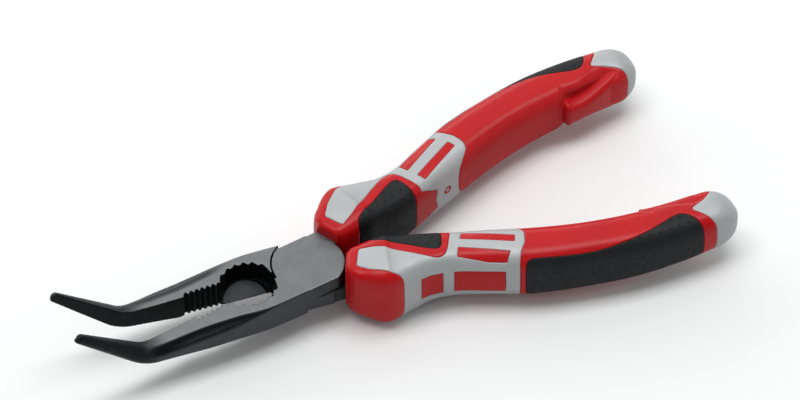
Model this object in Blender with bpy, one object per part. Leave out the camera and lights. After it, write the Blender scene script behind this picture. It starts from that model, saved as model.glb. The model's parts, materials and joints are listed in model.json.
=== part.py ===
"""Bent-nose radio pliers with a pipe grip, a side cutter and three-component grips.

The pliers lie flat and a little open. The pivot axis is the Z axis, the jaws point along -X and the
handles along +X. z = 0 is the underside of the lap joint, and the noses bend up, towards +Z.
Lever A carries the -Y jaw, the upper lap and the +Y handle; lever B carries the other three.
All lengths are in millimetres, and one scale factor turns them into metres when a mesh is made.
"""

import math

import bmesh
import bpy
from mathutils import Matrix, Vector

MM = 0.001
REAR, FRONT = 1, -1

# The lap joint
OPEN_ANGLE = 6.2  # degrees that each lever is turned from closed
JOINT_THICKNESS = 9.8
MID = JOINT_THICKNESS / 2
LAP_RADIUS = 11.2  # on the jaw side, where it turns against the other lever's shoulder
LAP_HANDLE_RADIUS = 10.7
LAP_HALF_WIDTH = 9.8
LAP_GAP = 0.3
RIVET_RADIUS = 3.6
RIVET_HEAD_RADIUS = 5.0
RIVET_HEAD_HEIGHT = 1.4
RIVET_CLEARANCE = 0.06
JOINT_SEGMENTS = 48

# The jaws, drawn closed: r is the distance from the pivot, v the distance from the closing plane
JAW_FACE_GAP = 0.06
NOSE_ANGLE = 41.9
BEND_START = 53.6
BEND_RADIUS = 11.0
NOSE_LENGTH = 23.5
# r, width, height of the top, depth, then the corner reaches of the outer edge: top across, top down,
# bottom across, bottom down, and the roundness of the upper corner: 0 is hollow, 0.5 flat, 1 round
JAW_ROWS = (
    (0.0, 9.7, 9.8, 9.8, 0.4, 0.4, 0.6, 0.6, 0.5),
    (14.0, 9.7, 9.8, 9.8, 0.4, 0.4, 0.9, 0.9, 0.5),
    (20.0, 9.5, 9.8, 9.8, 0.5, 0.6, 1.2, 1.2, 0.4),
    (28.0, 8.8, 9.7, 9.4, 1.7, 1.3, 1.8, 1.8, 0.25),
    (38.0, 7.5, 9.1, 8.8, 2.5, 1.6, 2.2, 2.6, 0.2),
    (46.0, 6.5, 8.7, 7.5, 2.4, 1.7, 2.2, 2.6, 0.25),
    (BEND_START, 5.6, 8.6, 6.5, 2.2, 2.3, 2.2, 2.6, 0.6),
)
NOSE_TIP = (1.9, 3.0)  # width and depth
NOSE_ROUND_RUN = 9.0  # how far along the bend the section takes to become round outside
NOSE_STEPS = 4
BEND_STEPS = 5
CORNER_STEPS = 3

# Teeth and side cutter, on the same axes as the jaws
FINE_TEETH_START, FINE_TEETH_END = 27.0, 38.9
FINE_TEETH = 7
FINE_TOOTH_DEPTH = 1.2
FINE_TOOTH_RECESS = 0.45
PIPE_GRIP_CENTRE, PIPE_GRIP_REACH, PIPE_GRIP_DEPTH = 19.8, 7.8, 6.0
PIPE_TEETH = 6
PIPE_TOOTH_DEPTH = 1.3
CUTTER_EDGE_HEIGHT = 0.5
CUTTER_SLOPE = 0.45

# Each grip follows a spine: x, y, half-width to the inside and to the outside, half-thickness,
# and the exponent of its superellipse, which is higher where the section is squarer
GRIP_ROWS = (
    (8.95, 6.4, 4.2, 4.8, 8.8, 5.0),
    (10.5, 7.2, 5.4, 6.6, 9.2, 5.0),
    (13.0, 8.4, 6.6, 8.6, 9.7, 5.0),
    (19.0, 10.6, 8.2, 11.1, 11.2, 4.8),
    (25.0, 12.0, 8.0, 8.8, 10.9, 4.4),
    (32.0, 13.4, 7.9, 6.9, 9.8, 3.9),
    (40.0, 16.0, 7.9, 6.4, 9.1, 3.4),
    (50.0, 19.8, 8.0, 7.4, 9.2, 3.2),
    (62.0, 24.6, 8.1, 8.2, 9.1, 3.1),
    (76.0, 28.8, 7.7, 7.9, 9.0, 3.1),
    (90.0, 31.8, 7.8, 7.8, 8.7, 3.1),
    (104.0, 33.1, 7.8, 7.5, 8.2, 3.1),
    (115.4, 33.0, 7.6, 7.4, 7.7, 3.1),
)
GRIP_END = 124.7
DOME_STEPS = 4
GRIP_STATIONS = 20
GRIP_SIDES = 20
INSERT_DEPTH = 1.4
CAP_DEPTH = 2.6
PIECE_GAP = 0.3

# Colour zones of a grip as seen from above, as x and y on the rear grip
FRAME_OUTLINE = (
    (13.5, 5.4), (10.2, 11.0), (12.9, 14.7), (16.4, 17.6), (18.6, 19.4), (20.8, 20.9), (22.4, 23.0),
    (23.2, 30.0), (53.0, 45.0), (54.6, 30.0), (56.6, 26.8), (59.2, 24.0), (60.8, 20.4), (60.6, 18.2),
    (58.4, 15.8), (56.0, 13.6), (53.4, 11.0), (50.0, 2.0), (44.0, 2.0), (41.2, 10.3), (37.8, 15.9),
    (36.2, 17.8), (34.5, 18.5), (32.6, 18.0), (25.0, 12.5), (17.5, 7.3),
)
TOP_WINDOWS = (
    ((44.1, 12.1), (42.4, 14.4), (56.5, 22.5), (57.8, 20.2)),
    ((40.6, 17.2), (38.9, 20.1), (46.4, 25.0), (51.6, 27.6), (53.8, 25.3)),
)
SIDE_WINDOWS = ((27.2, 34.0), (37.1, 50.8))
SIDE_WINDOW_LOW, SIDE_WINDOW_HIGH = 0.2, 8.8
THUMB_OUTLINE = (
    (17.4, -2.0), (18.0, 4.4), (20.0, 6.0), (25.0, 9.1), (28.2, 11.2), (31.6, 13.7), (34.0, 15.1),
    (35.4, 15.3), (36.6, 14.3), (38.1, 10.9), (38.9, 7.4), (39.2, 3.0), (39.0, -2.0),
)
PALM_OUTLINE = (
    (55.4, 50.0), (55.8, 31.0), (57.6, 29.6), (64.5, 32.0), (71.1, 34.0), (77.0, 35.4), (82.7, 36.1),
    (89.0, 36.2), (94.8, 35.6), (100.5, 34.2), (104.5, 33.2), (107.2, 33.6), (109.2, 36.0),
    (110.6, 39.4), (111.2, 50.0),
)
CAP_OUTLINE = (
    (109.7, 32.9), (113.0, 31.6), (116.2, 30.0), (118.4, 28.4), (119.6, 26.4), (119.8, 14.0),
    (135.0, 14.0), (135.0, 52.0), (115.8, 52.0), (115.2, 40.4), (113.9, 38.2), (112.0, 35.6),
)

# The tether lug on the inner face, in the plane of the handles, and the tangs inside the grips
LUG_OUTLINE = (
    (97.2, 29.0), (96.8, 24.0), (97.6, 23.0), (99.2, 22.8), (108.0, 24.2), (116.4, 26.0), (116.4, 30.0),
)
LUG_HALF_HEIGHT = 4.0
TANG_ROWS = ((-4.0, 4.4, 4.6), (7.0, 6.4, 3.9), (14.0, 9.0, 3.4), (104.0, 34.0, 2.3))
TANG_STATIONS = 12
LAP_TANG_END = 18.0
TANG_BAR_START = 15.0
TANG_END = 104.0
TANG_HALF_THICKNESS = 3.3


def new_collection(name):
    collection = bpy.data.collections.new(name)
    bpy.context.scene.collection.children.link(collection)
    return collection


def make_material(name, colour, roughness, metallic=0.0):
    material = bpy.data.materials.new(name)
    material.use_nodes = True
    shader = material.node_tree.nodes["Principled BSDF"]
    shader.inputs["Base Color"].default_value = (*colour, 1.0)
    shader.inputs["Roughness"].default_value = roughness
    shader.inputs["Metallic"].default_value = metallic
    material.diffuse_color = (*colour, 1.0)
    return material


def add_object(name, mesh, collection):
    obj = bpy.data.objects.new(name, mesh)
    collection.objects.link(obj)
    return obj


def object_from(name, bm, collection):
    """A mesh object made from a bmesh in millimetres."""
    bmesh.ops.scale(bm, vec=Vector((MM, MM, MM)), verts=bm.verts)
    bmesh.ops.recalc_face_normals(bm, faces=bm.faces)
    mesh = bpy.data.meshes.new(name)
    bm.to_mesh(mesh)
    bm.free()
    return add_object(name, mesh, collection)


def as_tool(obj):
    """Marks a cutter or a shape that another object takes in."""
    obj.hide_render = True
    obj.display_type = "WIRE"
    return obj


def combine(obj, operation, other):
    modifier = obj.modifiers.new(f"{operation.lower()} {other.name}", "BOOLEAN")
    modifier.operation = operation
    modifier.solver = "EXACT"
    modifier.object = other


def finish(obj, material, axis):
    obj.data.materials.clear()
    obj.data.materials.append(material)
    obj.data.shade_smooth()
    obj.data.set_sharp_from_angle(angle=math.radians(35))
    obj.parent = axis


def cylinder(name, radius, low, high, radius_low=None):
    bm = bmesh.new()
    bmesh.ops.create_cone(
        bm, cap_ends=True, segments=JOINT_SEGMENTS, depth=high - low,
        radius1=radius if radius_low is None else radius_low, radius2=radius,
    )
    bmesh.ops.translate(bm, vec=(0, 0, (low + high) / 2), verts=bm.verts)
    return as_tool(object_from(name, bm, tools))


def box(name, low, high):
    bm = bmesh.new()
    bmesh.ops.create_cube(bm, size=1.0)
    size = Vector(high) - Vector(low)
    bmesh.ops.scale(bm, vec=size, verts=bm.verts)
    bmesh.ops.translate(bm, vec=(Vector(low) + Vector(high)) / 2, verts=bm.verts)
    return as_tool(object_from(name, bm, tools))


def prism(name, outline, low, high):
    """A flat outline, as a filled curve of that thickness made into a mesh."""
    curve = bpy.data.curves.new(name, "CURVE")
    curve.dimensions = "2D"
    curve.fill_mode = "BOTH"
    curve.extrude = (high - low) / 2 * MM
    line = curve.splines.new("POLY")
    line.points.add(len(outline) - 1)
    for point, (x, y) in zip(line.points, outline):
        point.co = (x * MM, y * MM, 0, 1)
    line.use_cyclic_u = True
    drawn = add_object(f"{name} curve", curve, tools)
    drawn.location.z = (low + high) / 2 * MM
    bpy.context.view_layer.update()
    mesh = bpy.data.meshes.new_from_object(drawn.evaluated_get(bpy.context.evaluated_depsgraph_get()))
    bm = bmesh.new()
    bm.from_mesh(mesh)
    bmesh.ops.remove_doubles(bm, verts=bm.verts, dist=1e-6)
    bmesh.ops.recalc_face_normals(bm, faces=bm.faces)
    bm.to_mesh(mesh)
    bm.free()
    solid = as_tool(add_object(name, mesh, tools))
    solid.matrix_world = drawn.matrix_world
    bpy.data.objects.remove(drawn)
    return solid


def grown(outline, amount):
    """The outline moved out by an amount along the bisector of each corner."""
    count = len(outline)
    points = [Vector(point) for point in outline]
    area = sum(points[i - 1].cross(points[i]) for i in range(count))
    turn = math.copysign(1.0, area)
    moved = []
    for i, point in enumerate(points):
        before = (point - points[i - 1]).normalized()
        after = (points[(i + 1) % count] - point).normalized()
        side = (Vector((before.y, -before.x)) + Vector((after.y, -after.x))).normalized() * turn
        reach = amount / max(0.4, side.dot(Vector((after.y, -after.x)) * turn))
        moved.append(point + side * reach)
    return moved


def mirrored(outline, side):
    return [(x, y * side) for x, y in outline]


def at(rows, x):
    """The rows' other values at x, on a smooth curve through them."""
    last = len(rows) - 2
    i = min(last, max(0, sum(row[0] <= x for row in rows) - 1))
    a, b = rows[i], rows[i + 1]
    span = b[0] - a[0]
    t = (x - a[0]) / span
    before, after = rows[max(0, i - 1)], rows[min(last + 1, i + 2)]
    values = []
    for k in range(1, len(a)):
        slope_a = (b[k] - before[k]) / (b[0] - before[0]) * span
        slope_b = (after[k] - a[k]) / (after[0] - a[0]) * span
        values.append(
            a[k] * (2 * t**3 - 3 * t**2 + 1) + slope_a * (t**3 - 2 * t**2 + t)
            + b[k] * (3 * t**2 - 2 * t**3) + slope_b * (t**3 - t**2)
        )
    return values


def loft(name, rings, collection):
    """A closed solid through rings of the same number of points."""
    bm = bmesh.new()
    made = [[bm.verts.new(point) for point in ring] for ring in rings]
    count = len(rings[0])
    for low, high in zip(made, made[1:]):
        for i in range(count):
            j = (i + 1) % count
            bm.faces.new((low[i], low[j], high[j], high[i]))
    bm.faces.new(made[0])
    bm.faces.new(made[-1])
    return object_from(name, bm, collection)


def jaw_section(width, depth, top_across, top_down, low_across, low_down, roundness):
    """Points across a jaw as (v, height from its mid-depth), up its inner face and down its outer."""
    half = depth / 2
    points = [(JAW_FACE_GAP, -half), (JAW_FACE_GAP, half)]
    for i in range(CORNER_STEPS + 1):
        share = i / CORNER_STEPS
        across, down = math.sin(math.pi / 2 * share), 1 - math.cos(math.pi / 2 * share)
        if roundness >= 0.5:
            bulge = 2 * roundness - 1
        else:
            across, down = 1 - math.cos(math.pi / 2 * share), math.sin(math.pi / 2 * share)
            bulge = 1 - 2 * roundness
        across += (share - across) * (1 - bulge)
        down += (share - down) * (1 - bulge)
        points.append((width - top_across * (1 - across), half - top_down * down))
    for i in range(CORNER_STEPS + 1):
        turn = math.pi / 2 * i / CORNER_STEPS
        points.append((width - low_across * (1 - math.cos(turn)), low_down * (1 - math.sin(turn)) - half))
    return points


def jaw_stations():
    """(r, height, tilt, section) along the jaw's centre line, from the pivot to the tip."""
    straight = (0.0, 8.0, 14.0, 19.0, 24.0, 31.0, 38.0, 43.0, 48.0, BEND_START)
    stations = []
    for r in straight:
        width, top, depth, *corners = at(JAW_ROWS, r)
        stations.append((r, top - depth / 2, 0.0, (width, depth, *corners)))
    r, height = stations[-1][:2]
    bend = math.radians(NOSE_ANGLE)
    total = BEND_RADIUS * bend + NOSE_LENGTH

    def narrowed(run):
        size = [a + (b - a) * run / total for a, b in zip((width, depth), NOSE_TIP)]
        full = (0.8 * size[0], 0.46 * size[1], 0.8 * size[0], 0.46 * size[1], 1.0)
        t = min(1.0, run / NOSE_ROUND_RUN)
        share = t * t * (3 - 2 * t)
        return (*size, *(a + (b - a) * share for a, b in zip(corners, full)))

    for i in range(1, BEND_STEPS + 1):
        tilt = bend * i / BEND_STEPS
        stations.append((
            r + BEND_RADIUS * math.sin(tilt), height + BEND_RADIUS * (1 - math.cos(tilt)),
            tilt, narrowed(BEND_RADIUS * tilt),
        ))
    r, height = stations[-1][:2]
    for i in range(1, NOSE_STEPS + 1):
        run = NOSE_LENGTH * i / NOSE_STEPS
        stations.append((
            r + run * math.cos(bend), height + run * math.sin(bend), bend,
            narrowed(BEND_RADIUS * bend + run),
        ))
    return stations


def jaw(name, side):
    """One jaw in its closed place, on the +Y side for REAR and on the -Y side for FRONT."""
    rings = []
    for r, height, tilt, section in jaw_stations():
        rings.append([
            (-r + up * math.sin(tilt), side * v, height + up * math.cos(tilt))
            for v, up in jaw_section(*section)
        ])
    return loft(name, rings, tools)


def tooth_line(start, end, teeth, depth, base):
    """A zigzag of so many teeth: crests stand at the base curve and roots lie deeper."""
    points = []
    for i in range(2 * teeth + 1):
        r = start + (end - start) * i / (2 * teeth)
        points.append((r, base(r) + (depth if i % 2 else 0.0)))
    return points


def jaw_cutter(name, side, line, edge_height=None):
    """What the tooth line removes between itself and the closing plane. With an edge height its floor
    slopes up from the closing plane, which leaves the bevelled cutter blade below it."""
    outline = [(-r, side * v) for r, v in line]
    outline += [(-line[-1][0], -side), (-line[0][0], -side)]
    low = -1.0 if edge_height is None else edge_height
    cutter = prism(name, outline, low, JOINT_THICKNESS + 1)
    if edge_height is not None:
        for vertex in cutter.data.vertices:
            if vertex.co.z < 0:
                vertex.co.z += CUTTER_SLOPE * vertex.co.y * side
    return cutter


def pipe_grip_depth(r):
    share = (r - PIPE_GRIP_CENTRE) / PIPE_GRIP_REACH
    return PIPE_GRIP_DEPTH * math.sqrt(max(0.0, 1 - share * share)) - PIPE_TOOTH_DEPTH / 2


def tang_outline(start, end, side, extra):
    """The tang's plan: a strip along the handle's spine that narrows to its end."""
    edges = ([], [])
    for i in range(TANG_STATIONS):
        x = start + (end - start) * i / (TANG_STATIONS - 1)
        y = at(TANG_ROWS, x)[0] if x < GRIP_ROWS[1][0] else at(GRIP_ROWS, x)[0]
        half = at(TANG_ROWS, x)[1] + extra
        edges[0].append((x, (y - half) * side))
        edges[1].append((x, (y + half) * side))
    return edges[0] + edges[1][::-1]


def lever(name, jaw_side, lap_low, lap_high, axis):
    """A forged half: one jaw, one lap and the tang of the handle on the other side of the axis."""
    handle_side = -jaw_side
    turn = Matrix.Rotation(math.radians(-jaw_side * OPEN_ANGLE), 4, "Z")
    body = jaw(name, jaw_side)
    body.hide_render = False
    tools.objects.unlink(body)
    pliers.objects.link(body)
    body.data.transform(turn)
    is_upper = lap_high > MID
    cleared = (-1.0, lap_low) if is_upper else (lap_high, JOINT_THICKNESS + 1)
    combine(body, "DIFFERENCE", cylinder(f"{name} clearance", LAP_RADIUS + LAP_GAP, *cleared))
    lap = cylinder(f"{name} lap", LAP_RADIUS, lap_low, lap_high)
    jaw_half = box(f"{name} jaw half", (-20, -20, -5), (0, 20, 20))
    combine(lap, "INTERSECT", jaw_half)
    combine(lap, "UNION", cylinder(f"{name} handle half", LAP_HANDLE_RADIUS, lap_low, lap_high))
    sides = box(f"{name} lap sides", (-20, -LAP_HALF_WIDTH, -5), (20, LAP_HALF_WIDTH, 20))
    sides.data.transform(turn)
    combine(lap, "INTERSECT", sides)
    combine(body, "UNION", lap)
    combine(body, "UNION", prism(
        f"{name} lap tang", tang_outline(1.0, LAP_TANG_END, handle_side, 0.0), lap_low, lap_high
    ))
    combine(body, "UNION", prism(
        f"{name} tang bar", tang_outline(TANG_BAR_START, TANG_END, handle_side, -0.02),
        MID - TANG_HALF_THICKNESS, MID + TANG_HALF_THICKNESS,
    ))
    fine = tooth_line(
        FINE_TEETH_START, FINE_TEETH_END, FINE_TEETH, FINE_TOOTH_DEPTH,
        lambda r: JAW_FACE_GAP + FINE_TOOTH_RECESS,
    )
    pipe_start, pipe_end = (PIPE_GRIP_CENTRE + way * PIPE_GRIP_REACH for way in (-1, 1))
    pipe = tooth_line(pipe_start, pipe_end, PIPE_TEETH, PIPE_TOOTH_DEPTH, pipe_grip_depth)
    for cutter in (
        jaw_cutter(f"{name} fine teeth", jaw_side, fine),
        jaw_cutter(f"{name} pipe grip", jaw_side, pipe, CUTTER_EDGE_HEIGHT),
    ):
        cutter.data.transform(turn)
        combine(body, "DIFFERENCE", cutter)
    combine(body, "DIFFERENCE", rivet_hole)
    finish(body, steel, axis)
    return body


def pivot_rivet(name, axis):
    """The rivet, ground flush with both laps, with a countersunk head on the underside."""
    shank = cylinder(name, RIVET_RADIUS, 0.0, JOINT_THICKNESS)
    shank.hide_render = False
    shank.display_type = "TEXTURED"
    tools.objects.unlink(shank)
    pliers.objects.link(shank)
    combine(shank, "UNION", cylinder(
        f"{name} head", RIVET_RADIUS - 0.1, 0.0, RIVET_HEAD_HEIGHT, RIVET_HEAD_RADIUS
    ))
    finish(shank, rivet_steel, axis)


def grip_ring(x, inset, side, share=1.0):
    """A grip's section square to its spine at x, drawn inwards by inset and scaled by share."""
    y, inner, outer, half, power = at(GRIP_ROWS, min(x, GRIP_ROWS[-1][0]))
    step = 0.5
    slope = (at(GRIP_ROWS, min(x, 114.0) + step)[0] - at(GRIP_ROWS, min(x, 114.0) - step)[0]) / (2 * step)
    heading = math.atan(slope)
    ring = []
    for i in range(GRIP_SIDES):
        turn = 2 * math.pi * (i + 0.5) / GRIP_SIDES
        across = math.copysign(abs(math.cos(turn)) ** (2 / power), math.cos(turn))
        up = math.copysign(abs(math.sin(turn)) ** (2 / power), math.sin(turn))
        reach = across * ((inner if across > 0 else outer) - inset) * share
        ring.append((
            x + reach * math.sin(heading), side * (y - reach * math.cos(heading)),
            MID + up * (half - inset) * share,
        ))
    return ring


def grip_form(name, side, inset, collection):
    """The outer form of a grip, drawn inwards by inset."""
    start, straight = GRIP_ROWS[0][0], GRIP_ROWS[-1][0]
    rings = [
        grip_ring(start + (straight - start) * i / GRIP_STATIONS, inset, side)
        for i in range(GRIP_STATIONS + 1)
    ]
    for i in range(1, DOME_STEPS + 1):
        turn = math.pi / 2 * i / DOME_STEPS * 0.93
        rings.append(grip_ring(
            straight + (GRIP_END - inset - straight) * math.sin(turn), inset, side, math.cos(turn) ** 0.8
        ))
    return loft(name, rings, collection)


def side_window(name, side, start, end, shrink):
    """A cutter through the outer flank of a grip, from x start to end."""
    y = at(GRIP_ROWS, (start + end) / 2)[0] + 2.0
    near, far = sorted((side * y, side * (y + 30)))
    return box(
        name, (start + shrink, near, SIDE_WINDOW_LOW + shrink), (end - shrink, far, SIDE_WINDOW_HIGH - shrink)
    )


def zone(name, side, outline, grow):
    """Everything above and below a plan outline on one grip."""
    return prism(name, mirrored(grown(outline, grow), side), MID - 15, MID + 15)


def frame_zone(name, side, grow):
    area = zone(name, side, FRAME_OUTLINE, grow)
    for i, outline in enumerate(TOP_WINDOWS):
        combine(area, "DIFFERENCE", zone(f"{name} window {i}", side, outline, -grow))
    for i, (start, end) in enumerate(SIDE_WINDOWS):
        combine(area, "DIFFERENCE", side_window(f"{name} side window {i}", side, start, end, grow))
    return area


def plain_zone(outline):
    return lambda name, side, grow: zone(name, side, outline, grow)


def insert(name, side, make_zone, depth, material, axis):
    """A moulded piece that fills one zone of the grip's skin, and the recess that holds it."""
    piece = grip_form(name, side, 0.0, pliers)
    combine(piece, "INTERSECT", make_zone(f"{name} zone", side, 0.0))
    combine(piece, "DIFFERENCE", as_tool(grip_form(f"{name} inside", side, depth, tools)))
    recess = make_zone(f"{name} recess", side, PIECE_GAP)
    combine(recess, "DIFFERENCE", as_tool(grip_form(f"{name} floor", side, depth + PIECE_GAP, tools)))
    finish(piece, material, axis)
    return recess


def grip(letter, side, lap_low, lap_high, axis):
    """The five moulded pieces of one handle."""
    sleeve = grip_form(f"grip_sleeve_{letter}", side, 0.0, pliers)
    combine(sleeve, "UNION", prism(
        f"lug {letter}", mirrored(LUG_OUTLINE, side), MID - LUG_HALF_HEIGHT, MID + LUG_HALF_HEIGHT
    ))
    pieces = (
        (f"grip_frame_{letter}", frame_zone, INSERT_DEPTH, silver),
        (f"thumb_pad_{letter}", plain_zone(THUMB_OUTLINE), INSERT_DEPTH, black_rubber),
        (f"palm_pad_{letter}", plain_zone(PALM_OUTLINE), INSERT_DEPTH, black_rubber),
        (f"end_cap_{letter}", plain_zone(CAP_OUTLINE), CAP_DEPTH, silver),
    )
    for name, make_zone, depth, material in pieces:
        combine(sleeve, "DIFFERENCE", insert(name, side, make_zone, depth, material, axis))
    combine(sleeve, "DIFFERENCE", prism(
        f"lap tang pocket {letter}", tang_outline(5.0, LAP_TANG_END + PIECE_GAP, side, PIECE_GAP),
        lap_low - PIECE_GAP, lap_high + PIECE_GAP,
    ))
    combine(sleeve, "DIFFERENCE", prism(
        f"tang pocket {letter}",
        tang_outline(TANG_BAR_START - PIECE_GAP, TANG_END + PIECE_GAP, side, PIECE_GAP),
        MID - TANG_HALF_THICKNESS - PIECE_GAP, MID + TANG_HALF_THICKNESS + PIECE_GAP,
    ))
    finish(sleeve, red, axis)


def pivot_empty(name):
    empty = bpy.data.objects.new(name, None)
    empty.empty_display_size = 20 * MM
    pliers.objects.link(empty)
    return empty


for old in list(bpy.data.objects):
    bpy.data.objects.remove(old)

pliers = new_collection("needle_nose_pliers")
tools = new_collection("cutters")

steel = make_material("phosphated steel", (0.075, 0.08, 0.085), 0.42, 0.85)
rivet_steel = make_material("rivet steel", (0.10, 0.105, 0.11), 0.38, 0.9)
red = make_material("red grip", (0.62, 0.02, 0.025), 0.42)
silver = make_material("silver grip", (0.45, 0.47, 0.47), 0.40)
black_rubber = make_material("black soft grip", (0.03, 0.036, 0.04), 0.60)

upper_lap = (MID + LAP_GAP / 2, JOINT_THICKNESS)
lower_lap = (0.0, MID - LAP_GAP / 2)
rivet_hole = cylinder("rivet hole", RIVET_RADIUS + RIVET_CLEARANCE, -1.0, JOINT_THICKNESS + 1)
combine(rivet_hole, "UNION", cylinder(
    "rivet countersink", RIVET_RADIUS, -0.6, RIVET_HEAD_HEIGHT + 0.1, RIVET_HEAD_RADIUS + 0.7
))

lever_a_axis = pivot_empty("lever_a_axis")
lever_b_axis = pivot_empty("lever_b_axis")
lever("lever_a", FRONT, *upper_lap, lever_a_axis)
lever("lever_b", REAR, *lower_lap, lever_b_axis)
pivot_rivet("pivot_rivet", lever_a_axis)
grip("a", REAR, *upper_lap, lever_a_axis)
grip("b", FRONT, *lower_lap, lever_b_axis)
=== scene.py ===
"""Looks of the bent-nose radio pliers: forged steel levers and three-component moulded grips.

The shapes follow the CAD's own geometry at a finer step. The pivot axis is the Z axis, the jaws point
along -X and the handles along +X. Lengths are in millimetres until a mesh is made; the distances of
bumps, the floor, the lights and the camera are in metres.
"""

import json
import math

import bmesh
import bpy
import numpy as np
from mathutils import Matrix, Vector

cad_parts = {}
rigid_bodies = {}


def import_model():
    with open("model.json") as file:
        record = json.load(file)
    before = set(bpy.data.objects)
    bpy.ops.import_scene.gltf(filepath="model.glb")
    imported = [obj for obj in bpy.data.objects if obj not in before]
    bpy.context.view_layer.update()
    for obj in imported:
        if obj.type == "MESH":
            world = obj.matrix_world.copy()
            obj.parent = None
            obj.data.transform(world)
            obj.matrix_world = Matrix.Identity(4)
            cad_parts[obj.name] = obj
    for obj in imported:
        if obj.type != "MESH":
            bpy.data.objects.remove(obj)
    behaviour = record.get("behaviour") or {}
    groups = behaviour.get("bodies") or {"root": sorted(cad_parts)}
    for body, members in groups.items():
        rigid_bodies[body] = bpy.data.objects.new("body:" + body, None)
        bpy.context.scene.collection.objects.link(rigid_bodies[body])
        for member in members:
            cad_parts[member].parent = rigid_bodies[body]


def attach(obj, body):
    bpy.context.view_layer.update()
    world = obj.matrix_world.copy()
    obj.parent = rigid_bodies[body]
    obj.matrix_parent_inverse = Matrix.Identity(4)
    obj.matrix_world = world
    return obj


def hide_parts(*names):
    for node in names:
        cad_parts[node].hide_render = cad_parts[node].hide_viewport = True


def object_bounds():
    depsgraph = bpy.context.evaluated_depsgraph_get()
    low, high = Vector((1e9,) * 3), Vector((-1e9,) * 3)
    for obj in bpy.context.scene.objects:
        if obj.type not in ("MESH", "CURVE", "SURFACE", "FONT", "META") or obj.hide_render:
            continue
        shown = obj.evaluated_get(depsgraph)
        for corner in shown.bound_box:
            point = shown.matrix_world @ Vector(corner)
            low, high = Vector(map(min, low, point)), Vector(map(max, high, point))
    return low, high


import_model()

cad_low, cad_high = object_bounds()

MM = 0.001
REAR, FRONT = 1, -1

# The lap joint
OPEN_ANGLE = 6.2  # degrees from the closing plane to each jaw in the open position
JOINT_THICKNESS = 9.8
MID = JOINT_THICKNESS / 2
LAP_RADIUS = 11.2
LAP_HANDLE_RADIUS = 10.7
LAP_HALF_WIDTH = 9.8
LAP_GAP = 0.3
RIVET_RADIUS = 3.6
RIVET_HEAD_RADIUS = 5.0
RIVET_HEAD_HEIGHT = 1.4
RIVET_SHRINK = 0.06  # of the shank's radius, so that it stands clear of its hole
RIVET_HOLE_PLAY = 0.1
# Faces that would lie in one plane are kept this far apart, so that the solids join cleanly
APART = 0.015
LEVER_VOXEL = 0.17

# The jaws, drawn closed: r is the distance from the pivot, v the distance from the closing plane
JAW_FACE_GAP = 0.06
NOSE_ANGLE = 41.9
BEND_START = 53.6
BEND_RADIUS = 11.0
NOSE_LENGTH = 23.5
# r, width, height of the top, depth, then corner reaches of the outer edge: top across, top down,
# bottom across, bottom down, and the roundness of the upper corner: 0 is hollow, 0.5 flat, 1 round
JAW_ROWS = (
    (0.0, 9.7, 9.8, 9.8, 0.4, 0.4, 0.6, 0.6, 0.5),
    (14.0, 9.7, 9.8, 9.8, 0.4, 0.4, 0.9, 0.9, 0.5),
    (20.0, 9.5, 9.8, 9.8, 0.5, 0.6, 1.2, 1.2, 0.4),
    (28.0, 8.8, 9.7, 9.4, 1.7, 1.3, 1.8, 1.8, 0.25),
    (38.0, 7.5, 9.1, 8.8, 2.5, 1.6, 2.2, 2.6, 0.2),
    (46.0, 6.5, 8.7, 7.5, 2.4, 1.7, 2.2, 2.6, 0.25),
    (BEND_START, 5.6, 8.6, 6.5, 2.2, 2.3, 2.2, 2.6, 0.6),
)
NOSE_TIP = (1.9, 3.0)  # width and depth
NOSE_ROUND_RUN = 9.0  # how far along the bend the section takes to become round outside

FINE_TEETH_START, FINE_TEETH_END = 27.0, 38.9
FINE_TEETH = 7
FINE_TOOTH_DEPTH = 1.2
FINE_TOOTH_RECESS = 0.45
PIPE_GRIP_CENTRE, PIPE_GRIP_REACH, PIPE_GRIP_DEPTH = 19.8, 7.8, 6.0
PIPE_TEETH = 6
PIPE_TOOTH_DEPTH = 1.3
PIPE_FLOOR = 3.3
CUTTER_CENTRE, CUTTER_REACH, CUTTER_DEPTH = 20.1, 6.8, 5.8
CUTTER_EDGE_HEIGHT = 0.5
CUTTER_SLOPE = 0.45
RELIEF_START, RELIEF_END = 12.0, 40.0  # under the cutter and the teeth
RELIEF_WIDTH, RELIEF_HEIGHT = 1.7, 0.85

# Where shade is painted on the jaws' steel: the opening behind the teeth, and a strip below the outer edge
OPENING_START, OPENING_END = 8.0, 27.7
OPENING_HALF_WIDTH, OPENING_LOW = 7.6, 0.7
BEVEL_TOP = 4.2
SHADE_BAND_DEPTH = 3.6

# The tangs: x, y of the middle, half-width. Each bar runs between two x
TANG_ROWS = ((-4.0, 4.4, 4.6), (7.0, 6.4, 3.9), (14.0, 9.0, 3.4), (104.0, 34.0, 2.3))
TANG_HALF_THICKNESS = 3.3
LAP_TANG = (1.0, 17.0)
TANG_BAR = (14.0, 30.0)

# Grip: x, y of the spine, half-width inside and outside, half-thickness, superellipse exponent
GRIP_ROWS = (
    (8.95, 6.4, 4.2, 4.8, 8.8, 5.0),
    (10.5, 7.2, 5.4, 6.6, 9.2, 5.0),
    (13.0, 8.4, 6.6, 8.6, 9.7, 5.0),
    (19.0, 10.6, 8.2, 11.1, 11.2, 4.8),
    (25.0, 12.0, 8.0, 8.8, 10.9, 4.4),
    (32.0, 13.4, 7.9, 6.9, 9.8, 3.9),
    (40.0, 16.0, 7.9, 6.4, 9.1, 3.4),
    (50.0, 19.8, 8.0, 7.4, 9.2, 3.2),
    (62.0, 24.6, 8.1, 8.2, 9.1, 3.1),
    (76.0, 28.8, 7.7, 7.9, 9.0, 3.1),
    (90.0, 31.8, 7.8, 7.8, 8.7, 3.1),
    (104.0, 33.1, 7.8, 7.5, 8.2, 3.1),
    (115.4, 33.0, 7.6, 7.4, 7.7, 3.1),
)
GRIP_END = 124.7
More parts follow.
